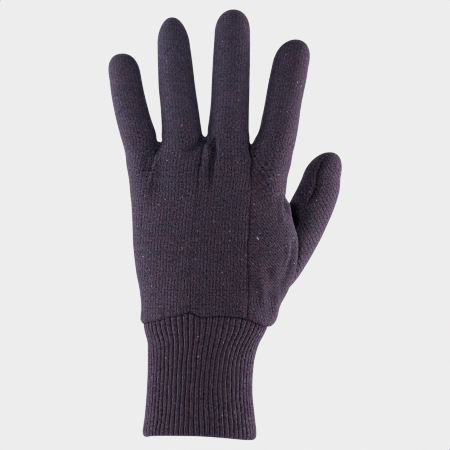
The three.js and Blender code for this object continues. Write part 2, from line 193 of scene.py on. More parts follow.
class Loft:
    """A tapering tube with level sections and, if a tip is given, a round end."""

    def __init__(self, rows, tip=None):
        r = np.array(rows, float)
        z = np.minimum(ZT, r[-1, 0])
        left, right, back, palm, n = (smooth_curve(r[:, 0], r[:, k], z) for k in range(1, 6))
        self.cx, self.cy = (left + right) / 2, (back + palm) / 2
        self.a, self.b, self.n = (right - left) / 2, (palm - back) / 2, n
        self.zc = r[-1, 0]
        self.h, self.m = 1e9, 2.0
        if tip:
            zt, xt, yt, self.m = tip
            self.h = zt - self.zc
            i = int(np.searchsorted(ZT, self.zc))
            dz = np.maximum(ZT - self.zc, 0)
            for name, end in (("cx", xt), ("cy", yt)):
                c = getattr(self, name)
                slope = (c[i - 10] - c[i - 30]) / 2.0
                bend = (end - c[i] - slope * self.h) / self.h ** 2
                setattr(self, name, np.where(ZT > self.zc, c[i] + slope * dz + bend * dz * dz, c))
        self.dcx, self.dcy = np.gradient(self.cx, 0.1), np.gradient(self.cy, 0.1)
        self.da, self.db = np.gradient(self.a, 0.1), np.gradient(self.b, 0.1)

    def at(self, name, z):
        z = np.asarray(z)
        return np.interp(z.ravel(), ZT, getattr(self, name)).reshape(z.shape).astype(z.dtype)

    def __call__(self, x, y, z):
        cx, cy, a, b, n = (self.at(k, z) for k in ("cx", "cy", "a", "b", "n"))
        X, Y = (x - cx) / a, (y - cy) / b
        aX, aY = np.abs(X) + 1e-5, np.abs(Y) + 1e-5
        W = np.maximum((z - self.zc) / self.h, 0)
        Xm, Ym = aX ** (n - 1), aY ** (n - 1)
        Q = Xm * aX + Ym * aY + W ** self.m
        gx, gy = n * np.sign(X) * Xm / a, n * np.sign(Y) * Ym / b
        gz = (-gx * self.at("dcx", z) - gy * self.at("dcy", z)
              - n * Xm * aX * self.at("da", z) / a - n * Ym * aY * self.at("db", z) / b
              + self.m * W ** (self.m - 1) / self.h)
        g = np.sqrt(gx * gx + gy * gy + gz * gz) * Q ** (1 / n - 1) / n
        return (Q ** (1 / n) - 1) / np.maximum(g, 0.02)

    def turn(self, x, y, z):
        """The angle round the section, 0 at the thumb side, -90 degrees at the back."""
        cx, cy, a, b, n = (self.at(k, z) for k in ("cx", "cy", "a", "b", "n"))
        X, Y = (x - cx) / a, (y - cy) / b
        return np.arctan2(np.sign(Y) * np.abs(Y) ** (n / 2), np.sign(X) * np.abs(X) ** (n / 2))

    def arc(self, z, t):
        """Length round the section from the middle of the back to the angle t."""
        if not hasattr(self, "_arc"):
            self._zs = np.arange(60.0, 262.0, 2.0)
            self._ts = np.linspace(-math.pi, math.pi, 241)
            rows = []
            for zz in self._zs:
                a, b, n = (float(np.interp(zz, ZT, getattr(self, k))) for k in ("a", "b", "n"))
                c, s = np.cos(self._ts), np.sin(self._ts)
                px = a * np.sign(c) * np.abs(c) ** (2 / n)
                py = b * np.sign(s) * np.abs(s) ** (2 / n)
                d = np.concatenate([[0], np.cumsum(np.hypot(np.diff(px), np.diff(py)))])
                rows.append(d - np.interp(-math.pi / 2, self._ts, d))
            self._arc = np.array(rows)
        i = np.clip((z - self._zs[0]) / 2.0, 0, len(self._zs) - 1.001)
        j = np.clip((t + math.pi) / (2 * math.pi) * 240, 0, 239.999)
        i0, j0 = i.astype(int), j.astype(int)
        fi, fj = i - i0, j - j0
        A = self._arc
        return ((A[i0, j0] * (1 - fj) + A[i0, j0 + 1] * fj) * (1 - fi)
                + (A[i0 + 1, j0] * (1 - fj) + A[i0 + 1, j0 + 1] * fj) * fi)


hand = Loft(HAND, TIPS["hand"])
fingers = [Loft(t, TIPS[n]) for t, n in ((LITTLE, "little"), (RING, "ring"), (MIDDLE, "middle"), (INDEX, "index"))]
thumb = Loft(THUMB, TIPS["thumb"])


def smin(a, b, k):
    h = np.clip(0.5 + 0.5 * (b - a) / k, 0, 1)
    return b * (1 - h) + a * h - k * h * (1 - h)


def smoothstep(lo, hi, v):
    t = np.clip((v - lo) / (hi - lo), 0, 1)
    return t * t * (3 - 2 * t)


def hand_field(x, y, z):
    f = fingers[0](x, y, z)
    for other in fingers[1:]:
        f = smin(f, other(x, y, z), 1.2)
    # Below the knuckles the fingers end inside the hand.
    f = f + 0.35 * np.maximum(146.0 - z, 0)
    # The crotches of the fingers don't lie at one height.
    top = smoothstep(166, 175, z) * (1.8 * np.exp(-(((x - 32) / 4.5) ** 2)) - 1.4 * np.exp(-(((x - 2.8) / 4.0) ** 2))
                                     + 0.9 * np.exp(-(((x + 25) / 4.0) ** 2)))
    return smin(hand(x, y, z) + top, f, 5.0)


# The hand's edge over the root of the thumb: height, place across.
EDGE = [(110, 59.0), (120.8, 59.0), (126, 58.4), (131.5, 56.4), (136, 55.1), (140.2, 54.3), (147, 51.5), (155, 51.5)]


def thumb_field(x, y, z):
    """The thumb, with the deep hollow between its root and the edge of the hand."""
    t = np.array(EDGE, float)
    side = x - smooth_curve(t[:, 0], t[:, 1], z) - 2.0
    hollow = 10.0 * np.exp(-((side / 4.2) ** 2)) * np.exp(-(((z - 137.0) / 7.4) ** 2)) * smoothstep(26, 12, y)
    return thumb(x, y, z) + hollow


def whole_field(x, y, z):
    k = 1.0 + 5.0 * smoothstep(14, 24, y)
    return smin(hand_field(x, y, z), thumb_field(x, y, z), k)


def at_points(f, P):
    return f(P[:, 0], P[:, 1], P[:, 2])


def gradient(f, P, e=0.05):
    g = np.empty_like(P)
    for k in range(3):
        d = np.zeros(3)
        d[k] = e
        g[:, k] = (at_points(f, P + d) - at_points(f, P - d)) / (2 * e)
    return g


def on_surface(P, steps=2):
    for _ in range(steps):
        v, g = at_points(whole_field, P), gradient(whole_field, P)
        P = P - (v / np.maximum((g * g).sum(1), 1e-4))[:, None] * g
    return P


def on_seam(P, seam, steps=3):
    """Points moved on to the cloth and on to a seam at once."""
    for _ in range(steps):
        v, g = at_points(whole_field, P), gradient(whole_field, P)
        w, h = at_points(seam, P), gradient(seam, P)
        gg, hh, gh = (g * g).sum(1), (h * h).sum(1), (g * h).sum(1)
        det = np.maximum(gg * hh - gh * gh, 0.02 * gg * hh + 1e-9)
        a, b = (hh * v - gh * w) / det, (gg * w - gh * v) / det
        step = a[:, None] * g + b[:, None] * h
        size = np.linalg.norm(step, axis=1, keepdims=True)
        P = P - step * np.minimum(1, 1.0 / np.maximum(size, 1e-9))
    return P


# ---------------------------------------------------------------------------
# A skin over the field
# ---------------------------------------------------------------------------
CELL = 0.8


def skin():
    """Points and square faces where the field is zero, about one cell apart."""
    x = np.arange(-58, 90, CELL, dtype=np.float32)
    y = np.arange(-27, 37, CELL, dtype=np.float32)
    z = np.arange(62, 262, CELL, dtype=np.float32)
    D = whole_field(x[:, None, None], y[None, :, None], z[None, None, :]).astype(np.float32)
    inside = D < 0
    nx, ny, nz = D.shape
    total = np.zeros((nx - 1, ny - 1, nz - 1, 3), np.float32)
    count = np.zeros((nx - 1, ny - 1, nz - 1), np.float32)
    axes = ((1, 0, 0), (0, 1, 0), (0, 0, 1))
    crossings = []
    for ax, (i, j, k) in enumerate(axes):
        lo = D[: nx - i, : ny - j, : nz - k]
        hi = D[i:, j:, k:]
        flip = inside[: nx - i, : ny - j, : nz - k] != inside[i:, j:, k:]
        c = np.argwhere(flip)
        va, vb = lo[flip], hi[flip]
        t = va / (va - vb)
        p = c.astype(np.float32)
        p[:, ax] += t
        crossings.append((c, inside[: nx - i, : ny - j, : nz - k][flip]))
        others = [a for a in range(3) if a != ax]
        for da in (0, 1):
            for db in (0, 1):
                q = c.copy()
                q[:, others[0]] -= da
                q[:, others[1]] -= db
                ok = ((q >= 0) & (q < [nx - 1, ny - 1, nz - 1])).all(1)
                np.add.at(total, tuple(q[ok].T), p[ok])
                np.add.at(count, tuple(q[ok].T), 1)
    cells = count > 0
    index = -np.ones(cells.shape, np.int64)
    index[cells] = np.arange(cells.sum())
    P = total[cells] / count[cells][:, None]
    P = np.stack([x[0] + P[:, 0] * CELL, y[0] + P[:, 1] * CELL, z[0] + P[:, 2] * CELL], 1).astype(float)
    quads = []
    for ax, (c, was_in) in enumerate(crossings):
        u, v = [(1, 2), (2, 0), (0, 1)][ax]
        corner = []
        for du, dv in ((1, 1), (0, 1), (0, 0), (1, 0)):
            q = c.copy()
            q[:, u] -= du
            q[:, v] -= dv
            corner.append(q)
        ok = np.ones(len(c), bool)
        for q in corner:
            ok &= ((q >= 0) & (q < [nx - 1, ny - 1, nz - 1])).all(1)
        ids = np.stack([index[tuple(q[ok].T)] for q in corner], 1)
        flip = ~was_in[ok]
        ids[flip] = ids[flip][:, ::-1]
        quads.append(ids)
    Q = np.concatenate(quads)
    Q = Q[(Q >= 0).all(1)]
    return P, Q


def relax(P, Q, rounds=4):
    """Points spread evenly over the cloth."""
    e = np.concatenate([Q[:, [0, 1]], Q[:, [1, 2]], Q[:, [2, 3]], Q[:, [3, 0]]])
    deg = np.bincount(e.ravel(), minlength=len(P)).astype(float)
    border = np.zeros(len(P), bool)
    for _ in range(rounds):
        s = np.stack([np.bincount(e[:, 0], P[e[:, 1], k], len(P)) + np.bincount(e[:, 1], P[e[:, 0], k], len(P))
                      for k in range(3)], 1)
        P = P * 0.4 + 0.6 * s / deg[:, None]
        P = on_surface(P, 1)
    return P


def tidy(P, F, *more):
    used = np.unique(F)
    remap = -np.ones(len(P), np.int64)
    remap[used] = np.arange(len(used))
    return (P[used], remap[F], *[m[used] for m in more])


def cut(P, F, seam):
    """Parts a mesh of triangles along the line where seam is zero: (plus, minus)."""
    g = at_points(seam, P) / np.maximum(np.linalg.norm(gradient(seam, P), axis=1), 1e-6)
    used = np.zeros(len(P), bool)
    used[F.ravel()] = True
    near = (np.abs(g) < 0.28 * CELL) & used
    P = P.copy()
    if near.any():
        P[near] = on_seam(P[near], seam)
        g[near] = 0
    s = np.sign(g)[F]
    mixed = (s.min(1) < 0) & (s.max(1) > 0)
    keep, M, sm = F[~mixed], F[mixed], s[mixed]
    new_faces, new_points, made = [], [], {}
    base = len(P)
    for tri, st in zip(M.tolist(), sm.tolist()):
        if 0 in st:
            k = st.index(0)
            a, b, c = tri[k], tri[(k + 1) % 3], tri[(k + 2) % 3]
            key = (b, c) if b < c else (c, b)
            if key not in made:
                made[key] = base + len(new_points)
                new_points.append(key)
            m = made[key]
            new_faces += [(a, b, m), (a, m, c)]
        else:
            lone = next(k for k in range(3) if st[k] != st[(k + 1) % 3] and st[k] != st[(k + 2) % 3])
            a, b, c = tri[lone], tri[(lone + 1) % 3], tri[(lone + 2) % 3]
            ids = []
            for d in (b, c):
                key = (a, d) if a < d else (d, a)
                if key not in made:
                    made[key] = base + len(new_points)
                    new_points.append(key)
                ids.append(made[key])
            ab, ac = ids
            new_faces += [(a, ab, ac), (ab, b, c), (ab, c, ac)]
    if new_points:
        pair = np.array(new_points)
        t = (g[pair[:, 0]] / (g[pair[:, 0]] - g[pair[:, 1]]))[:, None]
        N = P[pair[:, 0]] * (1 - t) + P[pair[:, 1]] * t
        P = np.concatenate([P, on_seam(N, seam, 2)])
        g = np.concatenate([g, np.zeros(len(N))])
        F = np.concatenate([keep, np.array(new_faces)])
    else:
        F = keep
    side = g[F].sum(1)
    return tidy(P, F[side > 0]), tidy(P, F[side < 0])


def seam_across(table):
    t = np.array(table, float)
    return lambda x, y, z: x - smooth_curve(t[:, 0], t[:, 1], z)


def seam_side(x, y, z):
    t = np.array(SIDE_SEAM, float)
    # By the thumb the palm's cloth comes round the edge of the hand.
    lift = 11.0 * smoothstep(34, 48, x) * np.exp(-(((z - 137) / 9.5) ** 4))
    return y - smooth_curve(t[:, 0], t[:, 1], z) + lift


def seam_cuff(x, y, z):
    t = np.array(CUFF_SEAM, float)
    return z - smooth_curve(t[:, 0], t[:, 1], x)


def seam_root(x, y, z):
    return thumb_field(x, y, z) - hand_field(x, y, z)


SEAMS = {
    "little": [seam_across(SEAM_LITTLE_RING)],
    "ring": [seam_across(SEAM_RING_MIDDLE)],
    "index": [seam_across(SEAM_MIDDLE_INDEX)],
    "side": [seam_side],
    "thumb": [seam_across(SEAM_THUMB)],
    "root": [seam_root],
    "cuff": [seam_cuff],
}

P, Q = skin()
P = relax(P, Q)
F = np.concatenate([Q[:, [0, 1, 2]], Q[:, [0, 2, 3]]])
body, _ = cut(P, F, seam_cuff)
hand_part, thumb_part = cut(*body, seam_root)
palm_part, back_part = cut(*hand_part, seam_side)
index_part, rest = cut(*back_part, SEAMS["index"][0])
middle_part, rest = cut(*rest, SEAMS["ring"][0])
ring_part, little_part = cut(*rest, SEAMS["little"][0])
outer_part, inner_part = cut(*thumb_part, SEAMS["thumb"][0])
PANELS = {
    "palm_panel": palm_part,
    "back_strip_little": little_part,
    "back_strip_ring": ring_part,
    "back_strip_middle": middle_part,
    "back_strip_index": index_part,
    "thumb_inner_panel": inner_part,
    "thumb_outer_panel": outer_part,
}


def largest(P, F):
    """The biggest connected piece of a mesh, without any crumb beside it."""
    parent = np.arange(len(P))
    e = np.concatenate([F[:, [0, 1]], F[:, [1, 2]]])
    while True:
        low = np.minimum(parent[e[:, 0]], parent[e[:, 1]])
        before = parent.copy()
        np.minimum.at(parent, e[:, 0], low)
        np.minimum.at(parent, e[:, 1], low)
        parent = parent[parent]
        if (parent == before).all():
            break
    root = parent[F[:, 0]]
    ids, n = np.unique(root, return_counts=True)
    return tidy(P, F[root == ids[n.argmax()]])


PANELS = {k: largest(*v) for k, v in PANELS.items()}


def border_of(F):
    """The edges of a mesh that only one face has, in the face's own direction."""
    e = np.concatenate([F[:, [0, 1]], F[:, [1, 2]], F[:, [2, 0]]])
    key = np.sort(e, 1)
    n = key.max() + 1
    code = key[:, 0] * n + key[:, 1]
    _, first, count = np.unique(code, return_index=True, return_counts=True)
    return e[first[count == 1]]


# Where every seam runs, as dense points, to measure from.
seam_points = {k: [] for k in SEAMS}
borders = {}
for name, (P, F) in PANELS.items():
    b = border_of(F)
    borders[name] = b
    for kind, fs in SEAMS.items():
        for f in fs:
            on = np.abs(at_points(f, P)) < 0.02
            both = on[b[:, 0]] & on[b[:, 1]]
            A, B = P[b[both, 0]], P[b[both, 1]]
            for t in (0, 0.25, 0.5, 0.75):
                seam_points[kind].append(A * (1 - t) + B * t)
seam_tree = {}
for kind, pts in seam_points.items():
    pts = np.concatenate(pts)
    tree = kdtree.KDTree(len(pts))
    for i, p in enumerate(pts):
        tree.insert(p, i)
    tree.balance()
    seam_tree[kind] = tree


def seam_distance(kind, P):
    find = seam_tree[kind].find
    return np.array([find(p)[2] for p in P])


# ---------------------------------------------------------------------------
# Folds, gathers and grooves
# ---------------------------------------------------------------------------
def line_distance(points, x, z):
    """Distance in the plane of the back to a line, and how far along it, 0 to 1."""
    pts = np.array(points, float)
    best = np.full(x.shape, 1e9)
    along = np.zeros(x.shape)
    side = np.zeros(x.shape)
    length = np.concatenate([[0], np.cumsum(np.hypot(*np.diff(pts, axis=0).T))])
    for i in range(len(pts) - 1):
        (x0, z0), (x1, z1) = pts[i], pts[i + 1]
        dx, dz = x1 - x0, z1 - z0
        L2 = dx * dx + dz * dz
        t = np.clip(((x - x0) * dx + (z - z0) * dz) / L2, 0, 1)
        ox, oz = x - x0 - t * dx, z - z0 - t * dz
        d = np.hypot(ox, oz)
        m = d < best
        best = np.where(m, d, best)
        along = np.where(m, (length[i] + t * math.sqrt(L2)) / length[-1], along)
        side = np.where(m, np.sign(dx * oz - dz * ox), side)
    return best, along, side


# Folds on the back: line across and up, height, half width; + stands up, - sinks.
FOLDS = [
    ([(8.3, 180.5), (8.6, 173.4), (7.3, 166.2), (6.8, 159.4), (6.2, 150)], -3.3, 1.6),
    ([(3.9, 180), (4.3, 174), (3.4, 165), (2.6, 155)], 1.1, 1.5),
    ([(2.5, 181), (-2.0, 177.0), (-6.1, 173.7), (-10, 170.5)], -2.4, 1.9),
    ([(12.5, 178), (13.0, 168), (12.0, 155)], 0.6, 2.8),
    ([(-21.8, 178), (-24.6, 171), (-27.6, 162), (-31.0, 152), (-32.6, 140)], 0.8, 1.9),
    ([(-27.0, 179), (-30.2, 169), (-33.2, 158), (-36.4, 146)], -0.9, 2.8),
    ([(49.6, 150), (49.2, 143), (49.6, 134), (52.0, 127)], 0.7, 2.4),
    ([(46.5, 90), (45.5, 80), (43.5, 72)], 1.0, 2.0),
    ([(50.5, 94), (48.6, 84), (46.0, 74)], -0.5, 1.8),
    ([(58.0, 126), (58.4, 114), (57.6, 102), (55.0, 92)], 0.5, 1.5),
    ([(52.9, 120), (52.6, 110), (51.6, 102)], 0.8, 1.3),
    ([(56.0, 118), (55.2, 108), (53.0, 100), (49.2, 92)], -1.2, 1.8),
    ([(53.5, 107), (51.0, 100), (48.0, 93), (46.0, 86)], -1.3, 3.2),
    ([(41.0, 102), (43.2, 94), (44.6, 86)], -0.7, 2.4),
    ([(36.0, 99), (37.2, 90), (38.6, 78)], 0.9, 2.2),
]
# Bits of lint caught in the cloth: across, up, half width, brightness.
LINT = [(34.6, 121.1, 0.45, 0.9), (35.1, 120.6, 0.4, 0.8), (34.2, 121.9, 0.4, 0.4), (36.1, 124.0, 0.4, 0.3), (74.9, 155.1, 0.5, 0.8), (58.7, 214.5, 0.45, 0.55),
        (65.3, 129.3, 0.5, 0.5), (-20.5, 144.3, 0.45, 0.4), (-33.7, 110.1, 0.45, 0.4), (34.1, 89.1, 0.45, 0.35),
        (42.5, 156.9, 0.4, 0.3), (-0.7, 62.7, 0.45, 0.7), (-18.7, 60.9, 0.4, 0.6), (-0.7, 50.7, 0.4, 0.4),
        (13.7, 15.9, 0.4, 0.45), (20.9, 17.7, 0.4, 0.4)]


rng = np.random.default_rng(11)
WAVES = [(rng.normal(size=3) * [1.0, 1.0, 0.55], 2 * math.pi / L, rng.uniform(0, 6.28), A)
         for L, A in [(70, .22), (58, .2), (47, .18), (38, .15), (30, .12), (25, .1), (20, .07), (16, .05),
                      (63, .2), (42, .16), (33, .12), (22, .08), (13, .035), (11, .03), (9, .02)]]


def undulation(P):
    out = np.zeros(len(P))
    for d, k, phase, A in WAVES:
        d = d / np.linalg.norm(d)
        out += A * np.sin(k * (P @ d) + phase)
    return 0.45 * out


def ripple(s, seed):
    r = np.random.default_rng(seed)
    out = np.zeros_like(s)
    for L, A in ((3.1, .35), (4.3, .5), (5.9, .6), (8.3, .5), (13.0, .35)):
        out += A * np.sin(2 * math.pi * s / L + r.uniform(0, 6.28))
    return out


def raised(P, N):
    """How far each point of the cloth stands off the smooth shape, the painted shade of its colour, and its seam
    distance.
    """
    x, y, z = P.T
    d = {k: seam_distance(k, P) for k in SEAMS}
    back = smoothstep(4, -3, y)
    h = undulation(P) + 0.2
    pull = 1 + 0.10 * ripple(z, 3)

    def groove(kind, sharp, soft, w=0.75, ws=2.7):
        return -(sharp * np.exp(-(d[kind] / w) ** 2) + soft * pull * np.exp(-(d[kind] / ws) ** 2))

    h += groove("index", smooth_curve([100, 130, 145, 155, 163, 178], [.32, .32, .2, .25, .9, 1.5], z),
                smooth_curve([120, 150, 165, 178], [.22, .15, .45, .8], z), 0.5)
    h += groove("ring", smooth_curve([100, 148, 156, 178], [.04, .05, .25, .6], z),
                smooth_curve([120, 150, 165, 178], [.22, .12, .4, .9], z), 0.5)
    h += groove("little", smooth_curve([100, 140, 152, 178], [.03, .06, .12, .5], z),
                smooth_curve([120, 145, 160, 178], [.1, .25, .6, .9], z), 0.6, 3.0)
    h += groove("side", 0.4, 0.12)
    shown = smoothstep(172, 165, z) * smoothstep(138, 147, z)
    h += groove("thumb", 0.75 * shown, 0.35 * shown, 0.5, 2.6)
    h += 0.35 * shown * np.exp(-((d["thumb"] - 3.0) / 1.5) ** 2)
    h += groove("root", 1.0, 0.3, 0.7, 2.4)
    # The body is gathered on to the cuff.
    round_ = hand.arc(z, hand.turn(x, y, z))
    gather = ripple(round_ * 0.8, 5)
    h += 0.20 * gather * np.exp(-d["cuff"] / 6.0)
    front = smoothstep(8, 15, np.abs(y))
    h += groove("cuff", 0.1 + 0.9 * front, 0.25 * front, 0.6, 2.0)
    # At the sides the body's edge rounds down to the cuff.
    h -= (1 - front) * 0.5 * np.clip(1 - d["cuff"] / 2.4, 0, 1) ** 2
    h += 0.25 * np.exp(-((d["cuff"] - 4.0) / 2.5) ** 2)
    # Where the palm's cloth comes round over the thumb it lies back from the strip's edge.
    round_edge = smoothstep(40, 48, x) * np.exp(-(((z - 137) / 9.5) ** 4))
    h -= 1.3 * round_edge * smoothstep(-0.2, 0.6, seam_side(x, y, z)) * np.exp(-(d["side"] / 3.5) ** 2)
    for line, A, w in FOLDS:
        f, along, _ = line_distance(line, x, z)
        ends = np.clip(np.minimum(along, 1 - along) * 5, 0, 1) if A > 0 else np.clip((1 - along) * 2.2, 0, 1)
        h += back * A * ends * np.exp(-(f / w) ** 2)
    # A narrow fold lies back between the last welt and the hand's edge.
    edge_at = np.array(EDGE, float)
    beside = x - smooth_curve(edge_at[:, 0], edge_at[:, 1], z)
    behind_welt = smooth_curve([131, 134, 138, 142, 145, 148], [0.3, 1.5, 2.9, 3.1, 2.0, 0.8], z)
    wedge = (smoothstep(-0.5, 0.4, beside + behind_welt) * smoothstep(130, 134, z) * smoothstep(149, 146, z)
             * smoothstep(1.0, -3.0, y))
    h -= 0.2 * wedge
    # Painted shade along the seams: 0 in the bottom of a seam, 1 away from it.
    strength = {"index": smooth_curve([100, 138, 148, 155, 163, 178], [.55, .52, .42, .42, .65, .75], z),
                "ring": smooth_curve([100, 148, 158, 178], [.24, .20, .35, .5], z),
                "little": smooth_curve([90, 140, 155, 178], [.12, .12, .12, .35], z),
                "side": 0.25, "thumb": 0.6 * shown, "root": 0.6,
                "cuff": 0.3 + front * smooth_curve([-34, -18, -8, 0, 40], [.12, .22, .4, .35, .4], x)}
    depth = np.ones(len(P))
    for kind, how in strength.items():
        depth = np.minimum(depth, 1 - how * np.exp(-(d[kind] / 0.6) ** 2))
    # Painted shade: the colour is made almost black in the deep hollow beside the hand's edge, where no light comes, on
    # faces not turned to the back.
    wide = smooth_curve([125, 128, 131, 134, 138, 142, 146], [0.2, 1.2, 3.2, 4.8, 6.2, 6.6, 6.6], z)
    hollow = (smoothstep(wide + 1.0, wide - 1.2, beside) * smoothstep(-2.5, 0.2, beside) * smoothstep(124, 129, z)
              * smoothstep(143.6, 141.6, z) * smoothstep(3.5, 6, y) * smoothstep(40, 34, y))
    depth = depth * (1 - 0.93 * hollow * smoothstep(0.35, 0.05, N[:, 1]))
    # Painted shade: the colour darkens along the sinking folds by the crotches of the fingers.
    for line, A, w in FOLDS[:3]:
        if A < 0:
            f, along, _ = line_distance(line, x, z)
            depth = depth * (1 - 0.30 * back * np.clip((1 - along) * 1.6, 0, 1) * np.exp(-(f / (0.8 * w)) ** 2))
    # Painted shade: the narrow fold behind the welt is darkened on faces turned to the front.
    depth = depth * (1 - 0.62 * wedge * smoothstep(-0.15, -0.5, N[:, 1]))
    # Painted shade: a broad dark band on the back of the hand, from the root of the thumb down towards the wrist.
    f, along, _ = line_distance([(56.0, 112), (52.5, 103), (49.0, 95), (46.0, 87)], x, z)
    depth = depth * (1 - 0.24 * back * np.exp(-(f / 4.0) ** 2))
    return h, depth, d


# ---------------------------------------------------------------------------
# Where the knit runs: millimetres across and along the wales of each panel
# ---------------------------------------------------------------------------
def grain(points):
    t = np.array(points, float)
    return lambda z: smooth_curve(t[:, 0], t[:, 1], z)


GRAINS = [
    grain([(60, -38), (100, -38), (140, -37), (165, -34.5), (185, -37)]),
    grain([(60, -17.5), (80, -17), (130, -14), (165, -10.6), (185, -10.2)]),
    grain([(60, 11.5), (80, 11.8), (130, 13.5), (165, 16.2), (185, 17)]),
    grain([(60, 56), (80, 53), (110, 47), (140, 43.5), (165, 43.6), (185, 46.6)]),
]


def arc_height(loft, z):
    w = np.clip((z - loft.zc) / loft.h, 0, 1)
    return np.minimum(z, loft.zc) + loft.h * np.arcsin(w) * 1.05


def finger_across(loft, x, y, z, side):
    t = loft.turn(x, y, z)
    if side > 0:
        t = -t
    s = loft.arc(z, t)
    # Over the end the wales run straight on, so they don't close to a point.
    u = np.clip((x - loft.at("cx", z)) / loft.at("a", z), -1, 1)
    flat = loft.arc(z, -np.arccos(np.clip(u, -1, 1) * 0.999))
    k = smoothstep(0.0, 0.35, (z - loft.zc) / loft.h)
    return s * (1 - k) + flat * k


def slant(z):
    """How far the wales of the index strip and the thumb side have run across at height z."""
    t = np.arange(50.0, 270.0, 0.5)
    s = np.cumsum(0.7 * smoothstep(176, 144, t) * 0.5)
    return np.interp(z, t, s - np.interp(176.0, t, s))


def knit_back(i, P):
    x, y, z = P.T
    f = fingers[i]
    far = finger_across(f, x, y, z, -1)
    th = hand.turn(x, y, z)
    gx = GRAINS[i](z)
    cx, a, n = hand.at("cx", z), hand.at("a", z), hand.at("n", z)
    u = np.clip((gx - cx) / a, -1, 1)
    tg = -np.arccos(np.sign(u) * np.abs(u) ** (n / 2))
    near = hand.arc(z, th) - hand.arc(z, tg)
    if i == 3:
        near = near + slant(z)
    k = smoothstep(160 if i == 3 else 150, 182, z)
    return near * (1 - k) + far * k, arc_height(f, z)


def knit_palm(P):
    x, y, z = P.T
    d = np.stack([f(x, y, z) for f in fingers])
    which = d.argmin(0)
    far = np.zeros(len(P))
    for i, f in enumerate(fingers):
        m = which == i
        if m.any():
            far[m] = finger_across(f, x[m], y[m], z[m], 1) + float(f.at("cx", np.array([165.0]))[0])
    near = hand.arc(z, -hand.turn(x, y, z)) + hand.at("cx", z)
    k = smoothstep(150, 181, z)
    v = arc_height(fingers[0], z)
    for i, f in enumerate(fingers):
        m = which == i
        v[m] = arc_height(f, z[m])
    return near * (1 - k) + far * k, v


def knit_thumb(P, lean):
    x, y, z = P.T
    cx0, cy0 = thumb.at("cx", z), thumb.at("cy", z)
    along = z * 1.06
    s = thumb.arc(np.minimum(z, 150.0), np.arctan2(y - cy0, x - cx0))
    c, q = math.cos(lean), math.sin(lean)
    return s * c - along * q, s * q + along * c


KNIT = {
    "palm_panel": knit_palm,
    "back_strip_little": lambda P: knit_back(0, P),
    "back_strip_ring": lambda P: knit_back(1, P),
    "back_strip_middle": lambda P: knit_back(2, P),
    "back_strip_index": lambda P: knit_back(3, P),
    "thumb_inner_panel": lambda P: knit_thumb(P, -0.3),
    "thumb_outer_panel": lambda P: knit_thumb(P, -0.85),
}


# ---------------------------------------------------------------------------
# Materials
# ---------------------------------------------------------------------------
def node(tree, kind, x, y, **values):
    n = tree.nodes.new(kind)
    n.location = (x, y)
    for k, v in values.items():
        setattr(n, k, v)
    return n


class Maths:
    """Short names for sums of shader values."""

    def __init__(self, tree):
        self.t = tree

    def op(self, what, a, b=0.0, c=0.0, clamp=False):
        n = self.t.nodes.new("ShaderNodeMath")
        n.operation = what
        n.use_clamp = clamp
        for i, v in enumerate((a, b, c)):
            if isinstance(v, (int, float)):
                n.inputs[i].default_value = v
            else:
                self.t.links.new(v, n.inputs[i])
        return n.outputs[0]

    def mix(self, f, a, b):
        n = self.t.nodes.new("ShaderNodeMix")
        n.data_type = "RGBA"
        for s, v in ((n.inputs[0], f), (n.inputs[6], a), (n.inputs[7], b)):
            if isinstance(v, (int, float)):
                s.default_value = v
            elif isinstance(v, tuple):
                s.default_value = (*v, 1)
            else:
                self.t.links.new(v, s)
        return n.outputs[2]

    def ramp(self, v, lo, hi, a=0.0, b=1.0):
        n = self.t.nodes.new("ShaderNodeMapRange")
        n.interpolation_type = "SMOOTHSTEP"
        for i, q in enumerate((lo, hi, a, b)):
            n.inputs[i + 1].default_value = q
        self.t.links.new(v, n.inputs[0])
        return n.outputs[0]

    def noise(self, where, scale, detail=2.0, rough=0.5):
        n = self.t.nodes.new("ShaderNodeTexNoise")
        n.inputs["Scale"].default_value = scale
        n.inputs["Detail"].default_value = detail
        n.inputs["Roughness"].default_value = rough
        self.t.links.new(where, n.inputs["Vector"])
        return n.outputs["Fac"]


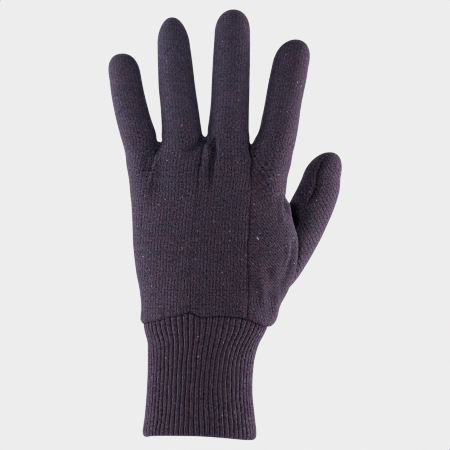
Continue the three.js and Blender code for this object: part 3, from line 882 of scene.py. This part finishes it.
def cloth(name, wale, course, rib=False):
    """Heathered cotton knit: columns of stitches that follow the panel's Knit map."""
    m = bpy.data.materials.new(name)
    m.use_nodes = True
    t = m.node_tree
    t.nodes.clear()
    M = Maths(t)
    out = node(t, "ShaderNodeOutputMaterial", 900, 0)
    bsdf = node(t, "ShaderNodeBsdfPrincipled", 600, 0)
    t.links.new(bsdf.outputs[0], out.inputs[0])
    uv = node(t, "ShaderNodeUVMap", -1400, 0, uv_map="Knit")
    sep = node(t, "ShaderNodeSeparateXYZ", -1200, 0)
    t.links.new(uv.outputs[0], sep.inputs[0])
    pos = node(t, "ShaderNodeTexCoord", -1400, -300).outputs["Object"]
    u = M.op("MULTIPLY", sep.outputs[0], 100.0)
    v = M.op("MULTIPLY", sep.outputs[1], 100.0)
    # The columns wander a little, and no stitch is quite like the next.
    wander = M.noise(pos, 110, 2)
    u = M.op("ADD", u, M.op("MULTIPLY", M.op("SUBTRACT", wander, 0.5), 1.1))
    fine = M.noise(pos, 520, 2, 0.6)
    u = M.op("ADD", u, M.op("MULTIPLY", M.op("SUBTRACT", fine, 0.5), 0.55))
    fine_v = M.noise(pos, 430, 2, 0.6)
    v = M.op("ADD", v, M.op("MULTIPLY", M.op("SUBTRACT", fine_v, 0.5), 1.3))
    uw, vc = M.op("DIVIDE", u, wale), M.op("DIVIDE", v, course)
    column = M.op("ROUND", uw)
    off = M.op("SUBTRACT", uw, column)
    a = M.op("SUBTRACT", 1.0, M.op("MULTIPLY", M.op("ABSOLUTE", off), 2.0))
    cell = node(t, "ShaderNodeTexWhiteNoise", -900, 300, noise_dimensions="1D")
    t.links.new(column, cell.inputs["W"])
    row = M.op("MULTIPLY_ADD", cell.outputs["Value"], 0.5, vc)
    course_wave = M.op("MULTIPLY_ADD", M.op("COSINE", M.op("MULTIPLY", row, 2 * math.pi)), 0.42, 0.58)
    both = node(t, "ShaderNodeCombineXYZ", -900, 200)
    t.links.new(column, both.inputs[0])
    t.links.new(M.op("ROUND", row), both.inputs[1])
    own = node(t, "ShaderNodeTexWhiteNoise", -700, 200, noise_dimensions="2D")
    t.links.new(both.outputs[0], own.inputs["Vector"])
    each = own.outputs["Value"]
    groove = M.op("POWER", a, 3.0)
    hole = M.op("MULTIPLY", groove, M.op("MULTIPLY_ADD", M.op("POWER", course_wave, 1.4), 0.66, 0.34))
    hole = M.op("MULTIPLY", hole, M.op("MULTIPLY_ADD", each, 0.7, 0.6))
    # The cloth is stretched flatter over the fingers.
    place = node(t, "ShaderNodeSeparateXYZ", -1200, -300)
    t.links.new(pos, place.inputs[0])
    calm = M.ramp(place.outputs[2], 0.165, 0.205, 1.0, 0.55)
    hole = M.op("MULTIPLY", hole, calm)
    legs = M.op("MULTIPLY_ADD", M.op("COSINE", M.op("MULTIPLY", M.op("MULTIPLY_ADD", a, 0.5, row), 4 * math.pi)), 0.5, 0.5)
    height = M.op("SUBTRACT", 0.9, M.op("MULTIPLY", hole, 0.9))
    height = M.op("ADD", height, M.op("MULTIPLY", legs, 0.12))
    fuzz = M.noise(pos, 1250, 3, 0.75)
    height = M.op("ADD", height, M.op("MULTIPLY", M.op("SUBTRACT", fuzz, 0.5), 0.85))
    # Colour: purple-brown and slate fibres in soft patches, and finer flecks.
    patch = M.ramp(M.op("MULTIPLY_ADD", M.noise(pos, 360, 3, 0.65), 0.65, M.op("MULTIPLY", M.noise(pos, 110, 2, 0.5), 0.35)), 0.38, 0.62)
    brown = (0.0770, 0.0495, 0.0725)
    slate = (0.0615, 0.0515, 0.0790)
    col = M.mix(patch, brown, slate)
    # Flecks lie along the wales, so they are longer than they are wide.
    along = node(t, "ShaderNodeCombineXYZ", -1000, -500)
    t.links.new(M.op("MULTIPLY", u, 1.0), along.inputs[0])
    t.links.new(M.op("MULTIPLY", v, 0.42), along.inputs[1])
    speckle = M.noise(along.outputs[0], 1.7, 2, 0.7)
    bright = M.ramp(speckle, 0.31, 0.69, -0.76, 0.76)
    bright = M.op("MULTIPLY_ADD", bright, M.op("MULTIPLY_ADD", calm, 0.6, 0.4), 1.0)
    tone = M.op("MULTIPLY_ADD", each, 0.28, 0.86)
    soft = M.op("MULTIPLY_ADD", M.noise(pos, 150, 2, 0.5), 0.5, 0.75)
    light = M.ramp(M.noise(pos, 800, 2, 0.6), 0.66, 0.76)
    col = M.mix(M.op("MULTIPLY", light, 0.35), col, (0.24, 0.21, 0.25))
    # Small bright neps, scattered, each with its own strength.
    dots = node(t, "ShaderNodeTexVoronoi", -900, -800, feature="F1", distance="EUCLIDEAN")
    dots.inputs["Scale"].default_value = 210
    t.links.new(pos, dots.inputs["Vector"])
    pick = node(t, "ShaderNodeSeparateColor", -700, -800)
    t.links.new(dots.outputs["Color"], pick.inputs[0])
    nep = M.op("MULTIPLY", M.ramp(dots.outputs["Distance"], 0.07, 0.125, 1.0, 0.0), M.op("POWER", pick.outputs[0], 2.6))
    col = M.mix(nep, col, (0.34, 0.29, 0.34))
    # Painted shade: the holes between stitches are darkened in the colour as well as sunk by the bump.
    shade = M.op("MAXIMUM", M.op("SUBTRACT", 1.0, M.op("MULTIPLY", hole, 0.92)), 0.05)
    shade = M.op("MULTIPLY", M.op("MULTIPLY", shade, bright), M.op("MULTIPLY", tone, soft))
    # Painted shading from the seam attribute: darker in seams, folds, hollows and rib valleys, lighter on the cuff's
    # sides.
    shading_attribute = node(t, "ShaderNodeAttribute", -600, -700, attribute_name="seam")
    painted_shading_factor = M.op("MAXIMUM", shading_attribute.outputs["Fac"], 0.04)
    shade = M.op("MULTIPLY", shade, painted_shading_factor)
    dark = t.nodes.new("ShaderNodeVectorMath")
    dark.operation = "SCALE"
    t.links.new(col, dark.inputs[0])
    t.links.new(shade, dark.inputs[3])
    # Lint caught on the back of the hand.
    spots = 0.0
    for lx, lz, wide, how in LINT:
        if (lz < 70) != rib:
            continue
        dx = M.op("SUBTRACT", place.outputs[0], lx * MM)
        dz = M.op("SUBTRACT", place.outputs[2], lz * MM)
        far = M.op("SQRT", M.op("ADD", M.op("MULTIPLY", dx, dx), M.op("MULTIPLY", dz, dz)))
        spots = M.op("ADD", M.ramp(far, 0.45 * wide * MM, 1.35 * wide * MM, how, 0.0), spots)
    spots = M.op("MULTIPLY", spots, M.op("LESS_THAN", place.outputs[1], 0.0))
    t.links.new(M.mix(spots, dark.outputs[0], (0.60, 0.55, 0.58)), bsdf.inputs["Base Color"])
    bump = node(t, "ShaderNodeBump", 300, -300)
    bump.inputs["Strength"].default_value = 1.0
    bump.inputs["Distance"].default_value = (0.30 if not rib else 0.14) * MM
    t.links.new(height, bump.inputs["Height"])
    t.links.new(bump.outputs[0], bsdf.inputs["Normal"])
    bsdf.inputs["Roughness"].default_value = 0.92
    bsdf.inputs["Specular IOR Level"].default_value = 0.12
    bsdf.inputs["Sheen Weight"].default_value = 0.22
    bsdf.inputs["Sheen Roughness"].default_value = 0.35
    bsdf.inputs["Sheen Tint"].default_value = (0.92, 0.78, 1.0, 1)
    return m


jersey = cloth("jersey_knit", 1.98, 1.78)
ribbing = cloth("rib_knit", 1.32, 1.5, rib=True)


# ---------------------------------------------------------------------------
# Meshes
# ---------------------------------------------------------------------------
def make_mesh(name, P, F, uv, seam, material, quads=None):
    me = bpy.data.meshes.new(name)
    n4 = 0 if quads is None else len(quads)
    loops = np.concatenate([F.ravel(), quads.ravel()]) if n4 else F.ravel()
    start = np.concatenate([np.arange(len(F)) * 3, len(F) * 3 + np.arange(n4) * 4])
    me.vertices.add(len(P))
    me.loops.add(len(loops))
    me.polygons.add(len(start))
    me.vertices.foreach_set("co", (P * MM).astype(np.float32).ravel())
    me.loops.foreach_set("vertex_index", loops.astype(np.int32))
    me.polygons.foreach_set("loop_start", start.astype(np.int32))
    me.polygons.foreach_set("use_smooth", np.ones(len(start), bool))
    me.update(calc_edges=True)
    layer = me.uv_layers.new(name="Knit")
    layer.data.foreach_set("uv", (uv[loops] / 100).astype(np.float32).ravel())
    # The seam attribute holds painted shading for the colour.
    att = me.attributes.new("seam", "FLOAT", "POINT")
    att.data.foreach_set("value", seam.astype(np.float32))
    me.validate()
    me.materials.append(material)
    ob = bpy.data.objects.new(name, me)
    bpy.context.scene.collection.objects.link(ob)
    return ob


WALL = 1.5
for name, (P, F) in PANELS.items():
    N = gradient(whole_field, P)
    N /= np.linalg.norm(N, axis=1, keepdims=True)
    # depth is the painted shade of the colour, darker in seams, folds and hollows; it is kept in the seam attribute.
    h, depth, dist = raised(P, N)
    # The colour of the middle, index and ring strips is made darker below the crotches of the fingers.
    tone = {"back_strip_middle": 0.89, "back_strip_index": 0.93, "back_strip_ring": 0.98}.get(name, 1.0)
    depth = depth * (1 - (1 - tone) * smoothstep(182, 160, P[:, 2]))
    u, v = KNIT[name](P)
    b = borders[name]
    edge = np.unique(b)
    out = P + N * h[:, None]
    # The panel's edge draws back from its seam.
    for kind, fs in SEAMS.items():
        for f in fs:
            g = at_points(f, P[edge])
            on = edge[np.abs(g) < 0.02]
            if not len(on):
                continue
            G = gradient(f, P[on])
            G -= (G * N[on]).sum(1, keepdims=True) * N[on]
            G /= np.maximum(np.linalg.norm(G, axis=1, keepdims=True), 1e-6)
            side = np.sign(at_points(f, P).mean())
            if kind in ("little", "ring", "index"):
                shut = np.interp(P[on, 2], [150, 170], [0.04, 0.10])
            else:
                shut = np.full(len(on), -0.03 if kind == "side" else 0.10)
            out[on] += G * side * shut[:, None]
    inner = out - N * WALL
    n = len(P)
    points = np.concatenate([out, inner])
    faces = np.concatenate([F, F[:, ::-1] + n])
    rim = np.stack([b[:, 1], b[:, 0], b[:, 0] + n, b[:, 1] + n], 1)
    uv = np.stack([u, v], 1)
    ob = make_mesh("knit_" + name, points, faces, np.concatenate([uv, uv]),
                   np.concatenate([depth, depth]), jersey, rim)
    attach(ob, "root")
    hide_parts(name)
    print(name, len(points), "points", len(faces) + 2 * len(rim), "triangles")

# ---------------------------------------------------------------------------
# The cuff: a ribbed tube
# ---------------------------------------------------------------------------
RIBS = 60
PER_RIB = 12
cuff_loft = Loft(CUFF)
cols = RIBS * PER_RIB
MOUTH = np.array([(-36, 2.6), (-31, 3.0), (-20, 3.6), (-6, 3.7), (8, 3.0), (21, 1.7), (30, 0.5), (36, 0.3)])


def cuff_section(zs, s01, inset):
    """Points on the cuff at height zs, and share s01 of the way round from the palm."""
    a, b, n = cuff_loft.at("a", zs), cuff_loft.at("b", zs), cuff_loft.at("n", zs)
    cx, cy = cuff_loft.at("cx", zs), cuff_loft.at("cy", zs)
    t = cuff_angle(s01)
    c, s = np.cos(t), np.sin(t)
    x = cx + a * np.sign(c) * np.abs(c) ** (2 / n)
    y = cy + b * np.sign(s) * np.abs(s) ** (2 / n)
    return x, y


_tt = np.linspace(math.pi / 2, -3 * math.pi / 2, 2001)
_c, _s = np.cos(_tt), np.sin(_tt)
_px, _py = 31.7 * np.sign(_c) * np.abs(_c) ** (2 / 2.1), 21.5 * np.sign(_s) * np.abs(_s) ** (2 / 2.1)
_len = np.concatenate([[0], np.cumsum(np.hypot(np.diff(_px), np.diff(_py)))])
_len /= _len[-1]


def cuff_angle(s01):
    return np.interp(s01 % 1.0, _len, _tt)


s01 = np.arange(cols) / cols
phase = (np.arange(cols) % PER_RIB) / PER_RIB
rib_number = np.arange(cols) // PER_RIB
rr = np.random.default_rng(5)
ridge = 1 - np.abs(2 * phase - 1) ** 3.0
t_seam = np.array(CUFF_SEAM, float)
t_mouth = MOUTH
grid, grid_uv, cuff_row_painted_shading = [], [], []


def cuff_point(z, s, out_by):
    z = np.broadcast_to(z, s.shape)
    x, y = cuff_section(z, s, 0)
    x2, y2 = cuff_section(z, s + 1e-3, 0)
    tx, ty = x2 - x, y2 - y
    L = np.hypot(tx, ty)
    nx, ny = -ty / L, tx / L
    flip = np.sign(nx * (x - cuff_loft.at("cx", z)) + ny * y)
    return np.stack([x + nx * flip * out_by, y + ny * flip * out_by, z], 1)


def top_height(s):
    z = np.full(s.shape, 74.0)
    for _ in range(4):
        x, _y = cuff_section(z, s, 0)
        z = smooth_curve(t_seam[:, 0], t_seam[:, 1], x)
    return z


def mouth_height(s):
    x, y = cuff_section(np.full(s.shape, 1.0), s, 0)
    front = smooth_curve(t_mouth[:, 0], t_mouth[:, 1], x)
    return np.where(y < 0, front, front * 0.45 + 0.3) * 1.0


def sway(z, s):
    """The ribs aren't quite straight, and fan out towards the body."""
    w = (0.26 * np.sin(z / 13.0 + 2 * 2 * math.pi * s) + 0.14 * np.sin(z / 6.1 + 5 * 2 * math.pi * s + 1.0)
         + 0.12 * np.sin(z / 3.3 + 11 * 2 * math.pi * s)) / 175.0
    return w + 0.010 * np.sin(2 * math.pi * (s - 0.5)) * smoothstep(50, 72, z)


ztop, zlow = top_height(s01), mouth_height(s01)
cuff_front = smoothstep(8, 15, np.abs(cuff_section(ztop, s01, 0)[1]))
zlow = np.convolve(np.tile(zlow, 3), np.ones(41) / 41, "same")[cols:2 * cols]
tall = rr.uniform(0.85, 1.12, (RIBS, 5))


# The argument low is the row's painted shading, kept as the seam attribute.
def add_row(z, s, out, uv_z, low, end=-1):
    at = len(grid) if end < 0 else 0
    grid.insert(at, cuff_point(z, s, out))
    grid_uv.insert(at, np.stack([s01 * RIBS * 2.64, uv_z], 1))
    cuff_row_painted_shading.insert(at, low)


outer_rows = 74
for k in range(outer_rows):
    r = (k / (outer_rows - 1))
    r = r + 0.10 * math.sin(math.pi * r) * r
    z = zlow + 2.6 + (ztop - zlow - 2.6) * min(r, 1.0)
    # Each rib is a little fuller here and thinner there.
    own = np.array([np.interp(r * 4, range(5), tall[i]) for i in range(RIBS)])[rib_number]
    edge = np.exp(-((ztop - z) / 0.7) ** 2) * cuff_front
    # At the two sides the ribs lie closer and flatter.
    sides = smoothstep(0.72, 0.96, np.abs(cuff_section(z, s01, 0)[0] - cuff_loft.at("cx", z)) / cuff_loft.at("a", z))
    depth = 1.35 * own * (1 - 0.25 * smoothstep(9, 0, z)) * (1 - 0.4 * smoothstep(5, 0, ztop - z)) * (1 - 0.3 * sides)
    # Painted shading for each row: darker in the rib valleys and under the body's edge, lighter on the two sides.
    add_row(z, s01 + sway(z, s01), -depth * (1 - ridge) - 1.1 * edge, z,
            np.minimum(0.38 + 0.26 * sides + 1.2 * ridge, 1.0 + 0.12 * sides) * (1 - 0.5 * edge))
# A narrow allowance stands up behind the body's edge, its colour painted dark as shade.
for k, (up, inwards) in enumerate(((0.6, -2.3), (1.8, -2.5))):
    z = ztop + up
    add_row(z, s01 + sway(z, s01), np.full(cols, inwards), z, np.full(cols, 0.1))
turns = 7
for k in range(1, turns + 1):
    ang = math.pi * k / (turns + 1)
    z = zlow + 2.6 - 2.6 * math.sin(ang)
    off = -1.35 + 1.35 * math.cos(ang)
    depth = 1.0 * (1 - 0.7 * k / (turns + 1))
    # Painted shade in the rib valleys of the turned mouth.
    add_row(z, s01 + sway(z, s01), -depth * (1 - ridge) + off, zlow - 2.6 * ang / math.pi * 2,
            np.minimum(0.25 + 1.2 * ridge, 1.0), 0)
inner_rows = 22
for k in range(inner_rows):
    r = k / (inner_rows - 1)
    z = zlow + 2.6 + (ztop + 1.8 - zlow - 2.6) * r
    # Painted shade in the rib valleys inside.
    add_row(z, s01 + sway(z, s01), -3.3 + 0.35 * ridge, zlow - 6 - (z - zlow),
            np.minimum(0.4 + ridge, 1.0), 0)
G = np.stack(grid)
U = np.stack(grid_uv)
nr = len(G)
ids = np.arange(nr * cols).reshape(nr, cols)
nxt = np.roll(ids, -1, axis=1)
cq = np.stack([ids[:-1], nxt[:-1], nxt[1:], ids[1:]], -1).reshape(-1, 4)
close = np.stack([ids[-1], nxt[-1], nxt[0], ids[0]], 1)
cq = np.concatenate([cq, close])
centre = G.reshape(-1, 3)[cq].mean(1)
nrm = np.cross(G.reshape(-1, 3)[cq[:, 1]] - G.reshape(-1, 3)[cq[:, 0]], G.reshape(-1, 3)[cq[:, 3]] - G.reshape(-1, 3)[cq[:, 0]])
mid_row = (nr - 30) * cols + cols // 3
if np.dot(nrm[mid_row], [centre[mid_row][0], centre[mid_row][1], 0]) < 0:
    cq = cq[:, ::-1]
CP = G.reshape(-1, 3)
cuff_painted_shading = np.concatenate(cuff_row_painted_shading)
cuff_ob = make_mesh("knit_cuff", CP, np.zeros((0, 3), int), U.reshape(-1, 2),
                    cuff_painted_shading, ribbing, cq)
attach(cuff_ob, "root")
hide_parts("cuff")
print("cuff", len(CP), "points", 2 * len(cq), "triangles")

# ---------------------------------------------------------------------------
# Room, light, camera
# ---------------------------------------------------------------------------
def paper():
    m = bpy.data.materials.new("floor_paper")
    m.use_nodes = True
    M = Maths(m.node_tree)
    b = m.node_tree.nodes["Principled BSDF"]
    where = node(m.node_tree, "ShaderNodeTexCoord", -900, 0).outputs["Object"]
    M.t.links.new(M.mix(M.noise(where, 40, 3, 0.6), (0.80, 0.80, 0.81), (0.84, 0.84, 0.84)), b.inputs["Base Color"])
    b.inputs["Roughness"].default_value = 0.9
    b.inputs["Specular IOR Level"].default_value = 0.1
    b.inputs["Emission Color"].default_value = (1.0, 1.0, 1.0, 1)
    b.inputs["Emission Strength"].default_value = 0.17
    return m


# The floor is a round sheet of paper well below the glove, which is held up.
sv, sf = [(0.0, 0.0, -0.10)], []
rings = [0.3, 0.6, 0.9, 1.15, 1.18, 1.2]
drop = [0, 0, 0, 0, 0.004, 0.014]
for r, low in zip(rings, drop):
    sv += [(r * math.cos(2 * math.pi * k / 96), r * math.sin(2 * math.pi * k / 96), -0.10 - low) for k in range(96)]
for k in range(96):
    n = (k + 1) % 96
    sf.append((0, 1 + k, 1 + n))
    for i in range(len(rings) - 1):
        sf.append((1 + i * 96 + k, 1 + (i + 1) * 96 + k, 1 + (i + 1) * 96 + n, 1 + i * 96 + n))
sm = bpy.data.meshes.new("floor")
sm.from_pydata(sv, [], sf)
for p in sm.polygons:
    p.use_smooth = True
sm.materials.append(paper())
floor = bpy.data.objects.new("floor", sm)
bpy.context.scene.collection.objects.link(floor)

# The room is pale grey. Behind the glove hangs a lit white backdrop; the rest of the studio is dim.
world = bpy.data.worlds.new("studio")
bpy.context.scene.world = world
world.use_nodes = True
wt = world.node_tree
W = Maths(wt)
seen = wt.nodes["Background"]
seen.inputs[0].default_value = (0.847, 0.847, 0.847, 1)
seen.inputs[1].default_value = 1.0
light = node(wt, "ShaderNodeBackground", 0, -200)
light.inputs[0].default_value = (1.0, 1.0, 1.0, 1)
way = node(wt, "ShaderNodeSeparateXYZ", -600, -200)
wt.links.new(node(wt, "ShaderNodeTexCoord", -800, -200).outputs["Generated"], way.inputs[0])
behind = W.ramp(way.outputs[1], 0.30, 0.75)
wt.links.new(W.op("MULTIPLY_ADD", behind, 0.6, 0.03), light.inputs[1])
pick = node(wt, "ShaderNodeMixShader", 200, 0)
wt.links.new(node(wt, "ShaderNodeLightPath", 0, 200).outputs["Is Camera Ray"], pick.inputs[0])
wt.links.new(light.outputs[0], pick.inputs[1])
wt.links.new(seen.outputs[0], pick.inputs[2])
wt.links.new(pick.outputs[0], wt.nodes["World Output"].inputs[0])


def softbox(name, place, target, size, power, colour):
    d = bpy.data.lights.new(name, "AREA")
    d.shape = "RECTANGLE"
    d.size, d.size_y = size
    d.energy = power
    d.color = colour
    o = bpy.data.objects.new(name, d)
    o.location = place
    o.rotation_euler = (Vector(target) - Vector(place)).to_track_quat("-Z", "Y").to_euler()
    bpy.context.scene.collection.objects.link(o)
    return o


def spot(name, place, target, angle, power, colour):
    d = bpy.data.lights.new(name, "SPOT")
    d.spot_size, d.spot_blend, d.shadow_soft_size = angle, 1.0, 0.08
    d.energy, d.color = power, colour
    o = bpy.data.objects.new(name, d)
    o.location = place
    o.rotation_euler = (Vector(target) - Vector(place)).to_track_quat("-Z", "Y").to_euler()
    bpy.context.scene.collection.objects.link(o)
    return o


softbox("left_high", (-0.45, -0.05, 0.32), (0.015, 0.0, 0.264), (0.2, 0.2), 1.78, (0.82, 0.91, 1.0))
softbox("left_low", (-0.45, -0.05, 0.0), (0.015, 0.0, 0.04), (0.2, 0.2), 0.95, (0.97, 0.96, 1.0))
softbox("left_rim", (-0.45, 0.22, 0.32), (0.015, 0.0, 0.264), (0.2, 0.2), 0.52, (0.96, 0.83, 1.0))
softbox("right_high", (0.45, -0.05, 0.32), (0.015, 0.0, 0.264), (0.2, 0.2), 0.72, (1.0, 1.0, 1.0))
softbox("right_low", (0.45, 0.0, 0.0), (0.015, 0.0, 0.04), (0.2, 0.2), 1.2, (1.0, 0.92, 1.0))
softbox("right_rim", (1.05, 0.30, 0.32), (0.015, 0.0, 0.264), (0.6, 0.6), 9.3, (0.98, 0.87, 1.0))
softbox("front_top", (0.0, -1.4, 1.3), (0.015, 0.0, 0.13), (1.2, 0.8), 1.25, (1.0, 0.72, 0.76))
softbox("front_fill", (-0.22, -0.50, 0.42), (-0.03, 0.0, 0.22), (0.25, 0.25), 0.74, (0.96, 0.87, 0.95))
spot("finger_spot", (-0.12, -0.60, 0.50), (-0.028, 0.0, 0.232), 0.32, 5.0, (0.30, 0.76, 1.0))
spot("thumb_spot", (0.50, -0.12, 0.19), (0.075, 0.02, 0.145), 0.19, 5.6, (1.0, 0.88, 1.0))
for lamp in bpy.context.scene.objects:
    if lamp.type == "LIGHT":
        lamp.visible_camera = False

cam = bpy.data.cameras.new("camera")
cam.sensor_width = 36
cam.lens = 36 * 2.0 / 0.270
cam.clip_start, cam.clip_end = 0.1, 30
cam_ob = bpy.data.objects.new("camera", cam)
cam_ob.location = (0.01524, -2.0, 0.129)
cam_ob.rotation_euler = (math.pi / 2, 0, 0)
bpy.context.scene.collection.objects.link(cam_ob)
bpy.context.scene.camera = cam_ob
bpy.context.scene.view_settings.view_transform = "Standard"
bpy.context.scene.cycles.use_denoising = True
bpy.context.scene.cycles.denoiser = "OPENIMAGEDENOISE"
bpy.context.scene.cycles.denoising_input_passes = "RGB_ALBEDO_NORMAL"
bpy.context.scene.cycles.denoising_prefilter = "FAST"
bpy.context.scene.cycles.filter_width = 1.15

import json
